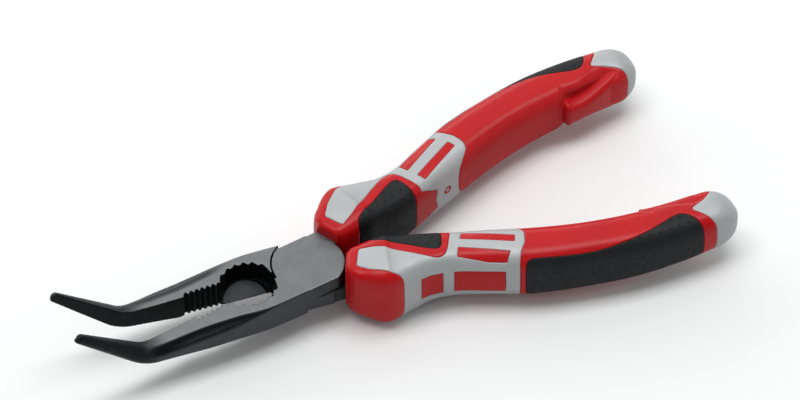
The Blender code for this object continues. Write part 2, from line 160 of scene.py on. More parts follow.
GRIP_EDGE = 1.1  # rounding of the collar's front edge
GRIP_STEP = 0.3
GRIP_QUADRANT = 62
GROOVE = 0.22  # how deep the parting line between two plastics is
SKIRT = 0.9  # how far the edge of each piece reaches in
DIMPLE_ALONG, DIMPLE_AROUND = 3.1, 2.9  # spacing of the pads' dimples

# Colour zones as seen from above, as x and y on the rear grip
FRAME_OUTLINE = (
    (13.5, 5.4), (10.2, 11.0), (12.9, 14.7), (16.4, 17.6), (18.6, 19.4), (21.2, 20.9), (23.4, 23.0),
    (24.2, 30.0), (53.0, 45.0), (54.6, 30.0), (56.6, 26.8), (59.2, 24.0), (60.8, 20.4), (60.6, 18.2),
    (58.4, 15.8), (56.0, 13.6), (53.4, 11.0), (50.0, 2.0), (44.0, 2.0), (41.2, 10.3), (37.8, 15.9),
    (36.2, 17.8), (34.5, 18.5), (32.6, 18.0), (25.0, 12.5), (17.5, 7.3),
)
TOP_WINDOWS = (
    ((44.1, 12.1), (42.4, 14.4), (56.5, 22.5), (57.8, 20.2)),
    ((40.6, 17.2), (38.9, 20.1), (46.4, 25.0), (51.6, 27.6), (53.8, 25.3)),
)
SIDE_WINDOWS = ((27.2, 34.0), (37.1, 50.8))  # from x to x on the outer side
SIDE_WINDOW_LOW, SIDE_WINDOW_HIGH = 0.2, 8.8
INNER_PATCH = (  # x and z on the inner side
    (38.0, 11.6), (42.4, 11.4), (47.3, 8.6), (46.5, 4.9), (47.3, 1.2), (42.4, -1.6), (38.0, -1.8),
)
RING_MARK = (51.3, 5.4, 1.0, 0.32)  # x, z, radius and half-width of the moulded ring
THUMB_OUTLINE = (
    (17.4, -2.0), (18.0, 4.4), (20.0, 6.0), (25.0, 9.1), (28.2, 11.2), (31.6, 13.7), (34.0, 15.1),
    (35.4, 15.3), (36.6, 14.3), (38.1, 10.9), (38.9, 7.4), (39.2, 3.0), (39.0, -2.0),
)
PALM_OUTLINE = (
    (55.4, 50.0), (55.8, 31.0), (57.6, 29.6), (64.5, 32.0), (71.1, 34.0), (77.0, 35.4), (82.7, 36.1),
    (89.0, 36.2), (94.8, 35.6), (100.5, 34.2), (104.5, 33.2), (107.2, 33.6), (109.2, 36.0),
    (110.6, 39.4), (111.2, 50.0),
)
CAP_OUTLINE = (
    (109.7, 32.9), (113.0, 31.6), (116.2, 30.0), (118.4, 28.4), (119.6, 26.4), (119.8, 14.0),
    (135.0, 14.0), (135.0, 52.0), (115.8, 52.0), (115.2, 40.4), (113.9, 38.2), (112.0, 35.6),
)
FRAME_CORNER, WINDOW_CORNER, PATCH_CORNER = 0.8, 0.3, 0.4
THUMB_CORNER, PALM_CORNER, CAP_CORNER = 1.4, 1.8, 1.4
SIDE_MARGIN = 2.0  # side windows and marks start this far from the spine
FAR = 9.0  # the distance given to points on the wrong side for a window
WINDOW_SINK = 0.12  # how far the red in a window lies below the frame
# The collar's top is flat up to a crease, given by two points in plan, and dips behind it
CREASE = ((20.9, 8.8), (18.2, 16.0))
DIP_DEPTH, DIP_LENGTH = 0.75, 4.0
SCOOP_DEPTH = 1.9  # of the hollow above and below the tether lug

# Tether lug: x, y of its inner face, half-height
LUG_ROWS = (
    (96.6, 23.2, 3.9),
    (97.6, 22.6, 4.5),
    (99.4, 22.6, 3.9),
    (103.0, 23.0, 3.7),
    (107.0, 23.8, 4.3),
    (111.0, 24.8, 5.3),
    (115.0, 26.2, 6.3),
    (117.6, 28.4, 6.6),
)
LUG_ROUNDNESS = 4.5  # superellipse exponent
LUG_ROOT = 1.0  # from the grip's spine to the lug's hidden side


# ---------------------------------------------------------------- materials

class Nodes:
    """A material's node tree with short calls for adding and joining nodes."""

    def __init__(self, name):
        self.material = bpy.data.materials.new(name)
        self.material.use_nodes = True
        self.tree = self.material.node_tree
        self.shader = self.tree.nodes["Principled BSDF"]

    def add(self, kind, inputs=None, **settings):
        node = self.tree.nodes.new(kind)
        for key, value in settings.items():
            setattr(node, key, value)
        for key, value in (inputs or {}).items():
            self.feed(node.inputs[key], value)
        return node

    def feed(self, socket, value):
        if isinstance(value, bpy.types.NodeSocket):
            self.tree.links.new(value, socket)
        else:
            socket.default_value = value

    def attribute(self, name, output="Fac"):
        return self.add("ShaderNodeAttribute", attribute_name=name).outputs[output]

    def where(self):
        return self.add("ShaderNodeTexCoord").outputs["Object"]

    def stretched(self, scale):
        return self.add("ShaderNodeMapping", {"Vector": self.where(), "Scale": scale}).outputs[0]

    def noise(self, scale, detail=3.0, roughness=0.5, at=None):
        node = self.add("ShaderNodeTexNoise", {
            "Vector": at or self.where(), "Scale": scale, "Detail": detail, "Roughness": roughness,
        })
        return node.outputs["Fac"]

    def cells(self, scale, output="Distance"):
        node = self.add("ShaderNodeTexVoronoi", {"Vector": self.where(), "Scale": scale})
        return node.outputs[output]

    def ramp(self, value, low, high, to_low=0.0, to_high=1.0):
        node = self.add("ShaderNodeMapRange", {
            "Value": value, "From Min": low, "From Max": high, "To Min": to_low, "To Max": to_high,
        }, clamp=True)
        return node.outputs[0]

    def math(self, operation, a, b=0.0):
        node = self.add("ShaderNodeMath", operation=operation)
        self.feed(node.inputs[0], a)
        self.feed(node.inputs[1], b)
        return node.outputs[0]

    def mix(self, factor, a, b):
        node = self.add("ShaderNodeMix", data_type="RGBA")
        self.feed(node.inputs[0], factor)
        self.feed(node.inputs[6], a if isinstance(a, bpy.types.NodeSocket) else (*a, 1.0))
        self.feed(node.inputs[7], b if isinstance(b, bpy.types.NodeSocket) else (*b, 1.0))
        return node.outputs[2]

    def bump(self, height, strength, distance, after=None):
        node = self.add("ShaderNodeBump", {"Height": height, "Strength": strength, "Distance": distance})
        if after is not None:
            self.feed(node.inputs["Normal"], after)
        return node.outputs[0]

    def set(self, **values):
        names = {
            "colour": "Base Color", "roughness": "Roughness", "metallic": "Metallic",
            "specular": "Specular IOR Level", "normal": "Normal",
        }
        for key, value in values.items():
            self.feed(self.shader.inputs[names[key]], value)
        return self.material


def steel_material():
    """Phosphated tool steel: blackened forged flanks, lighter ground faces, wear along the edges, and
    near-black painted shade in hollows, between the jaws and under the collars.
    """
    n = Nodes("phosphated_steel")
    mottle = n.ramp(n.noise(260.0, 5.0, 0.6), 0.3, 0.7)
    grain = n.noise(5200.0, 2.0, 0.6)
    flank = n.mix(mottle, (0.038, 0.044, 0.046), (0.051, 0.058, 0.060))
    ground = n.mix(mottle, (0.122, 0.131, 0.135), (0.150, 0.160, 0.164))
    painted_shade = n.mix(mottle, (0.0045, 0.0055, 0.0060), (0.0075, 0.0085, 0.0090))
    colour = n.mix(n.attribute("ground"), flank, ground)
    # Near-black painted shade over the steel where the levers ask for it
    colour = n.mix(n.attribute("painted_shade"), colour, painted_shade)
    pointiness = n.add("ShaderNodeNewGeometry").outputs["Pointiness"]
    patchy = n.ramp(n.noise(700.0, 4.0), 0.35, 0.65, 0.25, 0.7)
    worn = n.math("MULTIPLY", n.ramp(pointiness, 0.53, 0.60), patchy)
    worn = n.math("MULTIPLY", worn, n.ramp(n.attribute("ground"), 0.0, 0.6, 0.0, 1.0))
    colour = n.mix(worn, colour, (0.24, 0.25, 0.25))
    # Bare specks and specular stay low in the painted shade
    unshaded = n.ramp(n.attribute("painted_shade"), 0.0, 0.9, 1.0, 0.0)
    bare = n.math("MULTIPLY", n.ramp(grain, 0.55, 0.85, 0.0, 0.3), unshaded)
    colour = n.mix(bare, colour, (0.26, 0.27, 0.27))
    brushed = n.noise(1.0, 2.0, 0.5, at=n.stretched((900.0, 9000.0, 900.0)))
    rough = n.ramp(n.noise(420.0, 4.0), 0.3, 0.7, 0.40, 0.52)
    normal = n.bump(grain, 0.22, 0.00012)
    normal = n.bump(brushed, 0.10, 0.00008, after=normal)
    shine = n.math("MULTIPLY", n.ramp(n.attribute("painted_shade"), 0.0, 1.0, 0.85, 0.25), 0.5)
    return n.set(colour=colour, roughness=rough, metallic=0.8, specular=shine, normal=normal)


def red_material():
    """Hard red plastic, satin on its outside and finely eroded on the inner faces of the handles, with
    lighter pink flecks there that are partly painted sheen.
    """
    n = Nodes("red_grip_plastic")
    eroded = n.attribute("eroded")
    drift = n.ramp(n.noise(70.0, 3.0), 0.3, 0.7)
    colour = n.mix(drift, (0.390, 0.0026, 0.0052), (0.440, 0.0038, 0.0065))
    speck = n.noise(3600.0, 2.0, 0.6)
    # Lighter pink flecks on the eroded faces: partly the texture's speckle, partly painted sheen
    fleck_and_sheen = n.math("MULTIPLY", n.ramp(speck, 0.48, 0.75), n.ramp(eroded, 0.0, 1.0, 0.0, 0.55))
    colour = n.mix(fleck_and_sheen, colour, (0.50, 0.032, 0.045))
    rough = n.ramp(n.noise(900.0, 3.0), 0.3, 0.7, 0.27, 0.30)
    rough = n.math("ADD", rough, n.math("MULTIPLY", eroded, 0.2))
    normal = n.bump(n.cells(2600.0), n.ramp(eroded, 0.0, 1.0, 0.02, 0.4), 0.00010)
    normal = n.bump(speck, n.ramp(eroded, 0.0, 1.0, 0.02, 0.14), 0.00008, after=normal)
    return n.set(colour=colour, roughness=rough, specular=0.20, normal=normal)


def silver_material():
    """Silver-grey plastic with fine metallic flake."""
    n = Nodes("silver_grip_plastic")
    drift = n.ramp(n.noise(60.0, 3.0), 0.3, 0.7)
    colour = n.mix(drift, (0.330, 0.345, 0.352), (0.375, 0.391, 0.397))
    flake = n.cells(5200.0, "Color")
    bright = n.add("ShaderNodeSeparateColor", {"Color": flake}).outputs[0]
    colour = n.mix(n.ramp(bright, 0.75, 1.0, 0.0, 0.2), colour, (0.60, 0.62, 0.62))
    rough = n.ramp(n.noise(800.0, 3.0), 0.3, 0.7, 0.42, 0.52)
    normal = n.bump(n.noise(4200.0, 2.0, 0.6), 0.16, 0.00010)
    normal = n.bump(bright, 0.05, 0.00006, after=normal)
    return n.set(colour=colour, roughness=rough, metallic=0.2, specular=0.4, normal=normal)


def black_material():
    """Matt soft black grip with staggered rows of small dimples, laid out along the skin, with painted
    shade inside each dimple.
    """
    n = Nodes("black_soft_grip")
    skin = n.add("ShaderNodeSeparateXYZ", {"Vector": n.attribute("skin", "Vector")})
    along, around = skin.outputs[0], skin.outputs[1]
    row = n.math("ROUND", around)
    shifted = n.math("SUBTRACT", along, n.math("MULTIPLY", row, 0.5))
    du = n.math("MULTIPLY", n.math("SUBTRACT", shifted, n.math("ROUND", shifted)), DIMPLE_ALONG)
    dv = n.math("MULTIPLY", n.math("SUBTRACT", around, row), DIMPLE_AROUND)
    square = n.math("ADD", n.math("MULTIPLY", du, du), n.math("MULTIPLY", dv, dv))
    reach = n.math("SQRT", square)
    inside = n.ramp(reach, 0.20, 0.40, 1.0, 0.0)
    drift = n.ramp(n.noise(150.0, 4.0), 0.3, 0.7)
    colour = n.mix(drift, (0.0034, 0.0050, 0.0056), (0.0062, 0.0082, 0.0092))
    colour = n.mix(n.ramp(n.noise(4200.0, 2.0), 0.5, 0.85, 0.0, 0.25), colour, (0.035, 0.042, 0.044))
    # Painted shade inside each dimple
    colour = n.mix(inside, colour, (0.002, 0.0025, 0.003))
    rough = n.ramp(n.noise(600.0, 3.0), 0.3, 0.7, 0.48, 0.60)
    normal = n.bump(n.noise(3800.0, 3.0, 0.6), 0.20, 0.00014)
    normal = n.bump(n.math("MULTIPLY", inside, -1.0), 0.9, 0.00035, after=normal)
    return n.set(colour=colour, roughness=rough, specular=0.22, normal=normal)


def floor_material():
    """Matt white with a hardly visible drift in tone."""
    n = Nodes("studio_floor")
    colour = n.mix(n.noise(3.0, 2.0), (0.76, 0.770, 0.770), (0.78, 0.790, 0.790))
    return n.set(colour=colour, roughness=0.9, specular=0.1)


# ---------------------------------------------------------------- mesh helpers

def mesh_object(name, points, faces, material):
    """An object from arrays of points in millimetres and triangles."""
    points = np.asarray(points, float) * MM
    faces = np.asarray(faces, np.int32)
    mesh = bpy.data.meshes.new(name)
    mesh.vertices.add(len(points))
    mesh.vertices.foreach_set("co", points.astype(np.float32).ravel())
    mesh.loops.add(faces.size)
    mesh.loops.foreach_set("vertex_index", faces.ravel())
    mesh.polygons.add(len(faces))
    mesh.polygons.foreach_set("loop_start", np.arange(0, faces.size, 3, dtype=np.int32))
    mesh.update(calc_edges=True)
    mesh.validate()
    mesh.shade_smooth()
    mesh.materials.append(material)
    obj = bpy.data.objects.new(name, mesh)
    bpy.context.scene.collection.objects.link(obj)
    return obj


def vertex_normals(mesh):
    normals = np.zeros(len(mesh.vertices) * 3, np.float32)
    mesh.vertex_normals.foreach_get("vector", normals)
    return normals.reshape(-1, 3)


def store(mesh, name, values, kind="FLOAT"):
    """Keeps one value, or one vector, for every vertex, for the materials to read."""
    attribute = mesh.attributes.new(name, kind, "POINT")
    field = "vector" if kind == "FLOAT_VECTOR" else "value"
    attribute.data.foreach_set(field, np.asarray(values, np.float32).ravel())


def at(rows, xs):
    """The rows' other values at each x, on a smooth curve through them."""
    rows = np.asarray(rows, float)
    xs = np.atleast_1d(np.asarray(xs, float))
    i = np.clip(np.searchsorted(rows[:, 0], xs, side="right") - 1, 0, len(rows) - 2)
    before, after = np.maximum(i - 1, 0), np.minimum(i + 2, len(rows) - 1)
    span = rows[i + 1, 0] - rows[i, 0]
    t = ((xs - rows[i, 0]) / span)[:, None]
    wide_a = (rows[i + 1, 0] - rows[before, 0])[:, None]
    wide_b = (rows[after, 0] - rows[i, 0])[:, None]
    slope_a = (rows[i + 1, 1:] - rows[before, 1:]) / wide_a * span[:, None]
    slope_b = (rows[after, 1:] - rows[i, 1:]) / wide_b * span[:, None]
    return (
        rows[i, 1:] * (2 * t**3 - 3 * t**2 + 1) + slope_a * (t**3 - 2 * t**2 + t)
        + rows[i + 1, 1:] * (3 * t**2 - 2 * t**3) + slope_b * (t**3 - t**2)
    )


def rounded(outline, radius, steps=5):
    """The outline with each corner turned into a short curve."""
    points = [np.array(p, float) for p in outline]
    made = []
    for i, corner in enumerate(points):
        before, after = points[i - 1], points[(i + 1) % len(points)]
        arms = []
        for other in (before, after):
            length = np.linalg.norm(other - corner)
            arms.append(corner + (other - corner) * min(radius, 0.5 * length) / length)
        for k in range(steps + 1):
            t = k / steps
            made.append(arms[0] * (1 - t) ** 2 + corner * 2 * t * (1 - t) + arms[1] * t**2)
    return np.array(made)


def outline_distance(x, y, outline):
    """Signed distance of points to an outline, below zero inside it."""
    nearest = np.full(x.shape, 1e9)
    inside = np.zeros(x.shape, bool)
    for (ax, ay), (bx, by) in zip(outline, np.roll(outline, -1, axis=0)):
        dx, dy = bx - ax, by - ay
        length = dx * dx + dy * dy
        if length < 1e-12:
            continue
        t = np.clip(((x - ax) * dx + (y - ay) * dy) / length, 0, 1)
        nearest = np.minimum(nearest, (x - ax - t * dx) ** 2 + (y - ay - t * dy) ** 2)
        if dy != 0:
            crosses = (ay > y) != (by > y)
            inside ^= crosses & (x < ax + (y - ay) * dx / dy)
    return np.where(inside, -1.0, 1.0) * np.sqrt(nearest)


def ease(value, low, high):
    """Goes smoothly from 0 at low to 1 at high."""
    t = np.clip((value - low) / (high - low), 0, 1)
    return t * t * (3 - 2 * t)


# ---------------------------------------------------------------- grips

def unit_quadrant(power, count):
    """Points evenly spaced along a quarter of a superellipse of that exponent."""
    angle = np.linspace(0, math.pi / 2, 400)
    c, s = np.cos(angle), np.sin(angle)
    reach = (c**power + s**power) ** (-1 / power)
    px, py = c * reach, s * reach
    run = np.concatenate([[0], np.cumsum(np.hypot(np.diff(px), np.diff(py)))])
    wanted = np.linspace(0, run[-1], count + 1)
    return np.interp(wanted, run, px), np.interp(wanted, run, py)


def full_turn(power, quadrant):
    """Points all the way round the superellipse, as values across and up."""
    c, s = unit_quadrant(power, quadrant)
    across = np.concatenate([c[:-1], -c[:0:-1], -c[:-1], c[:0:-1]])
    up = np.concatenate([s[:-1], s[:0:-1], -s[:-1], -s[:0:-1]])
    return across, up


def spine_at(x):
    """The y of the grip's middle line."""
    return at(GRIP_ROWS, np.clip(x, GRIP_ROWS[0][0], GRIP_ROWS[-1][0]))[:, 0]


def grip_surface():
    """The rear grip's skin as a grid of rings: points, normals, and distance along and around."""
    start, straight = GRIP_ROWS[0][0], GRIP_ROWS[-1][0]
    # x on the spine, slide along it and share of the section: the collar's flat front, its rounded
    # edge, the handle and the handle's round end
    stations = []
    for share in (0.02, 0.2, 0.4, 0.6, 0.75, 0.84):
        stations.append((start, 0.0, share))
    for turn in np.linspace(0, math.pi / 2, 6)[:-1]:
        stations.append((start, GRIP_EDGE * (1 - math.cos(turn)), 0.86 + 0.14 * math.sin(turn)))
    for x in np.arange(start + GRIP_EDGE, straight, GRIP_STEP):
        stations.append((x, 0.0, 1.0))
    for turn in np.linspace(0, math.pi / 2, int(18 / GRIP_STEP)):
        share = max(0.01, math.cos(turn)) ** 0.8
        stations.append((straight + (GRIP_END - straight) * math.sin(turn), 0.0, share))
    stations = np.array(stations)
    xs = np.minimum(stations[:, 0], straight)
    rows = at(GRIP_ROWS, xs)
    low = np.clip(xs - 0.5, start, straight - 0.9)
    high = np.clip(xs + 0.5, start + 0.6, straight - 0.4)
    slope = (at(GRIP_ROWS, high)[:, 0] - at(GRIP_ROWS, low)[:, 0]) / (high - low)
    heading = np.arctan(slope)
    count = 4 * GRIP_QUADRANT
    points = np.zeros((len(stations), count, 3))
    around = np.zeros((len(stations), count))
    for i, (x, slide, share) in enumerate(stations):
        y, inner, outer, half, power = rows[i]
        across, up = full_turn(power, GRIP_QUADRANT)
        reach = across * np.where(across > 0, inner, outer) * share
        turn = heading[i]
        points[i, :, 0] = x + slide * math.cos(turn) + reach * math.sin(turn)
        points[i, :, 1] = y + slide * math.sin(turn) - reach * math.cos(turn)
        points[i, :, 2] = MID + up * half * share
        steps = np.linalg.norm(np.diff(points[i], axis=0, append=points[i, :1]), axis=1)
        around[i, 1:] = np.cumsum(steps)[:-1]
        around[i] -= np.where(np.arange(count) > count // 2, steps.sum(), 0)
    along_step = np.gradient(points, axis=0)
    around_step = (np.roll(points, -1, axis=1) - np.roll(points, 1, axis=1)) / 2
    normals = np.cross(along_step, around_step)
    normals /= np.maximum(np.linalg.norm(normals, axis=2, keepdims=True), 1e-9)
    centre = points.mean(axis=1, keepdims=True)
    if ((points - centre) * normals).sum() < 0:
        normals = -normals
    along = np.repeat(stations[:, :1], count, axis=1)
    return points, normals, along, around


def grid_triangles(rows, columns):
    """Triangles over a grid of closed rings."""
    i, j = np.meshgrid(np.arange(rows - 1), np.arange(columns), indexing="ij")
    a, b = i * columns + j, i * columns + (j + 1) % columns
    c, d = a + columns, b + columns
    return np.concatenate([
        np.stack([a, b, d], axis=-1).reshape(-1, 3), np.stack([a, d, c], axis=-1).reshape(-1, 3),
    ])


def clipped(triangles, field, arrays):
    """The part of a triangle mesh where the field is below zero, with new points on its edge."""
    inside = field < 0
    count = inside[triangles].sum(axis=1)
    kept = [triangles[count == 3]]
    total = len(field)

    def turned(group, wanted):
        first = np.argmax(inside[group] == wanted, axis=1)
        index = (first[:, None] + np.arange(3)) % 3
        return np.take_along_axis(group, index, axis=1)

    one = turned(triangles[count == 1], True)
    two = turned(triangles[count == 2], False)
    pairs = np.concatenate([one[:, [0, 1]], one[:, [0, 2]], two[:, [0, 1]], two[:, [0, 2]]])
    pairs = np.sort(pairs, axis=1)
    keys, where = np.unique(pairs[:, 0] * total + pairs[:, 1], return_inverse=True)
    first, second = keys // total, keys % total
    share = field[first] / (field[first] - field[second])
    where = where.reshape(-1) + total
    n1, n2 = len(one), len(two)
    ab1, ac1 = where[:n1], where[n1:2 * n1]
    ab2, ac2 = where[2 * n1:2 * n1 + n2], where[2 * n1 + n2:]
    kept.append(np.stack([one[:, 0], ab1, ac1], axis=1))
    kept.append(np.stack([ab2, two[:, 1], two[:, 2]], axis=1))
    kept.append(np.stack([ab2, two[:, 2], ac2], axis=1))
    faces = np.concatenate(kept)
    made = []
    for values in arrays:
        mixed = values[first] + (values[second] - values[first]) * (
            share[:, None] if values.ndim == 2 else share
        )
        made.append(np.concatenate([values, mixed]))
    used, faces = np.unique(faces, return_inverse=True)
    distance = np.concatenate([field, np.zeros(len(keys))])[used]
    return faces.reshape(-1, 3), distance, [values[used] for values in made]


def skirted(points, normals, faces, depth):
    """The patch with a wall of that depth hung inwards from its edge."""
    ends = np.concatenate([faces[:, [0, 1]], faces[:, [1, 2]], faces[:, [2, 0]]])
    keys = np.sort(ends, axis=1)
    code = keys[:, 0] * len(points) + keys[:, 1]
    _, index, count = np.unique(code, return_index=True, return_counts=True)
    edge = ends[index[count == 1]]
    rim, where = np.unique(edge, return_inverse=True)
    where = where.reshape(-1, 2) + len(points)
    lower = points[rim] - normals[rim] * depth
    walls = np.concatenate([
        np.stack([edge[:, 1], edge[:, 0], where[:, 0]], axis=1),
        np.stack([edge[:, 1], where[:, 0], where[:, 1]], axis=1),
    ])
    return np.concatenate([points, lower]), np.concatenate([faces, walls]), rim


def grip_zones(points):
    """Signed distances of every point to the four moulded inserts and to the frame's windows."""
    x, y, z = points[:, 0], points[:, 1], points[:, 2]
    from_spine = y - spine_at(x)
    windows = [outline_distance(x, y, rounded(outline, WINDOW_CORNER)) for outline in TOP_WINDOWS]
    for start, end in SIDE_WINDOWS:
        dx = np.abs(x - (start + end) / 2) - (end - start) / 2
        dz = np.abs(z - (SIDE_WINDOW_HIGH + SIDE_WINDOW_LOW) / 2) - (SIDE_WINDOW_HIGH - SIDE_WINDOW_LOW) / 2
        windows.append(np.where(from_spine > SIDE_MARGIN, np.maximum(dx, dz), FAR))
    ring_x, ring_z, radius, half_width = RING_MARK
    for mark in (
        outline_distance(x, z, rounded(INNER_PATCH, PATCH_CORNER)),
        np.abs(np.hypot(x - ring_x, z - ring_z) - radius) - half_width,
    ):
        windows.append(np.where(from_spine < -SIDE_MARGIN, mark, FAR))
    window = np.min(windows, axis=0)
    silver = np.maximum(outline_distance(x, y, rounded(FRAME_OUTLINE, FRAME_CORNER)), -window)
    thumb = outline_distance(x, y, rounded(THUMB_OUTLINE, THUMB_CORNER))
    palm = outline_distance(x, y, rounded(PALM_OUTLINE, PALM_CORNER))
    cap = outline_distance(x, y, rounded(CAP_OUTLINE, CAP_CORNER))
    return silver, thumb, palm, cap, window


def shaped(points, normals):
    """Moves the skin to its finer form: the dip behind the collar's crease and the scoop at the lug."""
    x, y, z = points[:, 0], points[:, 1], points[:, 2]
    (ax, ay), (bx, by) = CREASE
    length = math.hypot(bx - ax, by - ay)
    behind = ((x - ax) * (by - ay) - (y - ay) * (bx - ax)) / length
    run = np.maximum(behind, 0) / DIP_LENGTH
    dip = DIP_DEPTH * run * np.exp(1 - run) * np.abs(normals[:, 2]) ** 2
    ridge = at(LUG_ROWS, np.clip(x, LUG_ROWS[0][0], LUG_ROWS[-1][0]))[:, 1]
    above = np.abs(z - MID) - ridge
    scoop = ease(x, 94.0, 101.0) * (1 - ease(x, 112.0, 119.0)) * ease(spine_at(x) - y, 0.5, 5.0)
    scoop *= ease(above, -1.5, 0.6) * (1 - ease(above, 1.2, 4.4))
    return points - normals * (dip + SCOOP_DEPTH * scoop)[:, None]


def groove(distance):
    """How far the skin turns down towards the edge of its zone."""
    near = np.clip(GROOVE - distance, 0, GROOVE)
    return GROOVE - np.sqrt(GROOVE**2 - near**2)


def grip_pieces():
    """The moulded pieces of a rear grip as (kind, points, faces, skin coordinates)."""
    grid, grid_normals, along, around = grip_surface()
    rows, columns = grid.shape[:2]
    points, normals = grid.reshape(-1, 3), grid_normals.reshape(-1, 3)
    triangles = grid_triangles(rows, columns)
    silver, thumb, palm, cap, window = grip_zones(points)
    red = -np.minimum(np.minimum(silver, thumb), np.minimum(palm, cap))
    shaped_points = shaped(points, normals)
    # Distance around is counted from the middle of the inner side, or of the outer side
    half_way = (around.max(axis=1) - around.min(axis=1))[:, None] / 2
    outward = np.where(around > 0, around - half_way, around + half_way)
    inner_skin, outer_skin = (
        np.stack([along / DIMPLE_ALONG, run / DIMPLE_AROUND, along * 0], axis=-1).reshape(-1, 3)
        for run in (around, outward)
    )
    made = []
    for kind, field, skin, sunk in (
        ("sleeve", red, outer_skin, True), ("frame", silver, inner_skin, False),
        ("thumb_pad", thumb, inner_skin, False), ("palm_pad", palm, outer_skin, False),
        ("end_cap", cap, outer_skin, False),
    ):
        faces, distance, (p, n, s, w) = clipped(
            triangles, field, [shaped_points, normals, skin, window]
        )
        n = n / np.linalg.norm(n, axis=1, keepdims=True)
        depth = groove(-distance)
        if sunk:
            depth = depth + WINDOW_SINK * ease(-w, 0.0, 0.4)
        p = p - n * depth[:, None]
        a, b, c = p[faces[:, 0]], p[faces[:, 1]], p[faces[:, 2]]
        facing = (np.cross(b - a, c - a) * n[faces[:, 0]]).sum()
        if facing < 0:
            faces = faces[:, ::-1]
        walled, faces, rim = skirted(p, n, faces, SKIRT)
        made.append((kind, walled, faces, np.concatenate([s, s[rim]])))
    return made


def lug_surface():
    """The tether lug on the inner face: a bar with a blunt nose towards the joint."""
    xs = np.linspace(LUG_ROWS[0][0], LUG_ROWS[-1][0], 40)
    across, up = full_turn(LUG_ROUNDNESS, 7)
    width = len(across)
    rings = []
    for x, (inner, half) in zip(xs, at(LUG_ROWS, xs)):
        outer = spine_at(x)[0] - LUG_ROOT
        middle, reach = (inner + outer) / 2, (outer - inner) / 2
        nose = 0.6 + 0.4 * math.sin(min(1.0, (x - xs[0]) / 1.2) * math.pi / 2)
        rings.append(np.stack([
            np.full(width, x), middle - across * reach * nose, MID + up * half * nose,
        ], axis=1))
    grid = np.array(rings)
    points = np.concatenate([grid.reshape(-1, 3), grid[0].mean(axis=0)[None]])
    j = np.arange(width)
    fan = np.stack([np.full(width, len(points) - 1), (j + 1) % width, j], axis=1)
    return points, np.concatenate([grid_triangles(len(rings), width), fan])


# ---------------------------------------------------------------- levers

tools = bpy.data.collections.new("tools")
bpy.context.scene.collection.children.link(tools)


def object_from(name, bm):
    """A hidden object to shape the levers with, from a mesh in millimetres."""
    bmesh.ops.recalc_face_normals(bm, faces=bm.faces)
    bmesh.ops.scale(bm, vec=Vector((MM, MM, MM)), verts=bm.verts)
    mesh = bpy.data.meshes.new(name)
    bm.to_mesh(mesh)
    bm.free()
    obj = bpy.data.objects.new(name, mesh)
    tools.objects.link(obj)
    obj.hide_render = True
    return obj


def combine(obj, operation, other):
    modifier = obj.modifiers.new(operation, "BOOLEAN")
    modifier.operation = operation
    modifier.solver = "EXACT"
    modifier.object = other


def loft(name, rings):
    """A closed solid through rings of equally many points."""
    bm = bmesh.new()
    made = [[bm.verts.new(point) for point in ring] for ring in rings]
    count = len(rings[0])
    for low, high in zip(made, made[1:]):
        for i in range(count):
            j = (i + 1) % count
            bm.faces.new((low[i], low[j], high[j], high[i]))
    bm.faces.new(made[0])
    bm.faces.new(made[-1])
    return object_from(name, bm)


def prism(name, outline, low, high):
    return loft(name, [[(x, y, z) for x, y in outline] for z in (low, high)])


def revolved(name, profile, segments):
    """A solid turned about the pivot axis from (radius, height) points."""
    turns = [2 * math.pi * i / segments for i in range(segments)]
    return loft(name, [[(r * math.cos(t), r * math.sin(t), z) for t in turns] for r, z in profile])


def lap_plate(name, turned, low, high):
    """The round plate of the joint, a little smaller towards the handles and flat at both sides."""
    outline = []
    for t in np.linspace(0, 2 * math.pi, 240, endpoint=False):
        to_handles = float(ease(math.cos(t), -0.12, 0.12))
        reach = LAP_RADIUS + (LAP_HANDLE_RADIUS - LAP_RADIUS) * to_handles
        outline.append((t, min(reach, LAP_HALF_WIDTH / max(1e-6, abs(math.sin(t - turned))))))
    levels = (
        (low, 0.15), (low + 0.15, 0.0), (high - 0.4, 0.0), (high - 0.12, 0.12), (high - 0.01, 0.4),
    )
    rings = []
    for z, inset in levels:
        rings.append([
            ((reach - inset) * math.cos(t), (reach - inset) * math.sin(t), z) for t, reach in outline
        ])
    return loft(name, rings)


def jaw_section(values):
    """Points across a jaw as (v, height from its mid-depth)."""
    width, _, depth, top_across, top_down, low_across, low_down, roundness = values
    half = depth / 2
    points = [(JAW_FACE_GAP, -half), (JAW_FACE_GAP, half)]
    # The upper corner lies between a round, a straight and a hollow line
    start, end = np.array((width - top_across, half)), np.array((width, half - top_down))
    for i in range(9):
        turn = math.pi / 2 * i / 8
        convex = np.array((
            width - top_across * (1 - math.sin(turn)), half - top_down * (1 - math.cos(turn)),
        ))
        along = start + (end - start) * i / 8
        hollow = start + end - np.array((
            width - top_across * (1 - math.cos(turn)), half - top_down * (1 - math.sin(turn)),
        ))
        if roundness >= 0.5:
            point = along + (convex - along) * (roundness - 0.5) * 2
        else:
            point = along + (hollow - along) * (0.5 - roundness) * 2
        points.append(tuple(point))
    for i in range(7):
        turn = math.pi / 2 * i / 6
        v = width - low_across * (1 - math.cos(turn))
        points.append((v, low_down * (1 - math.sin(turn)) - half))
    return points


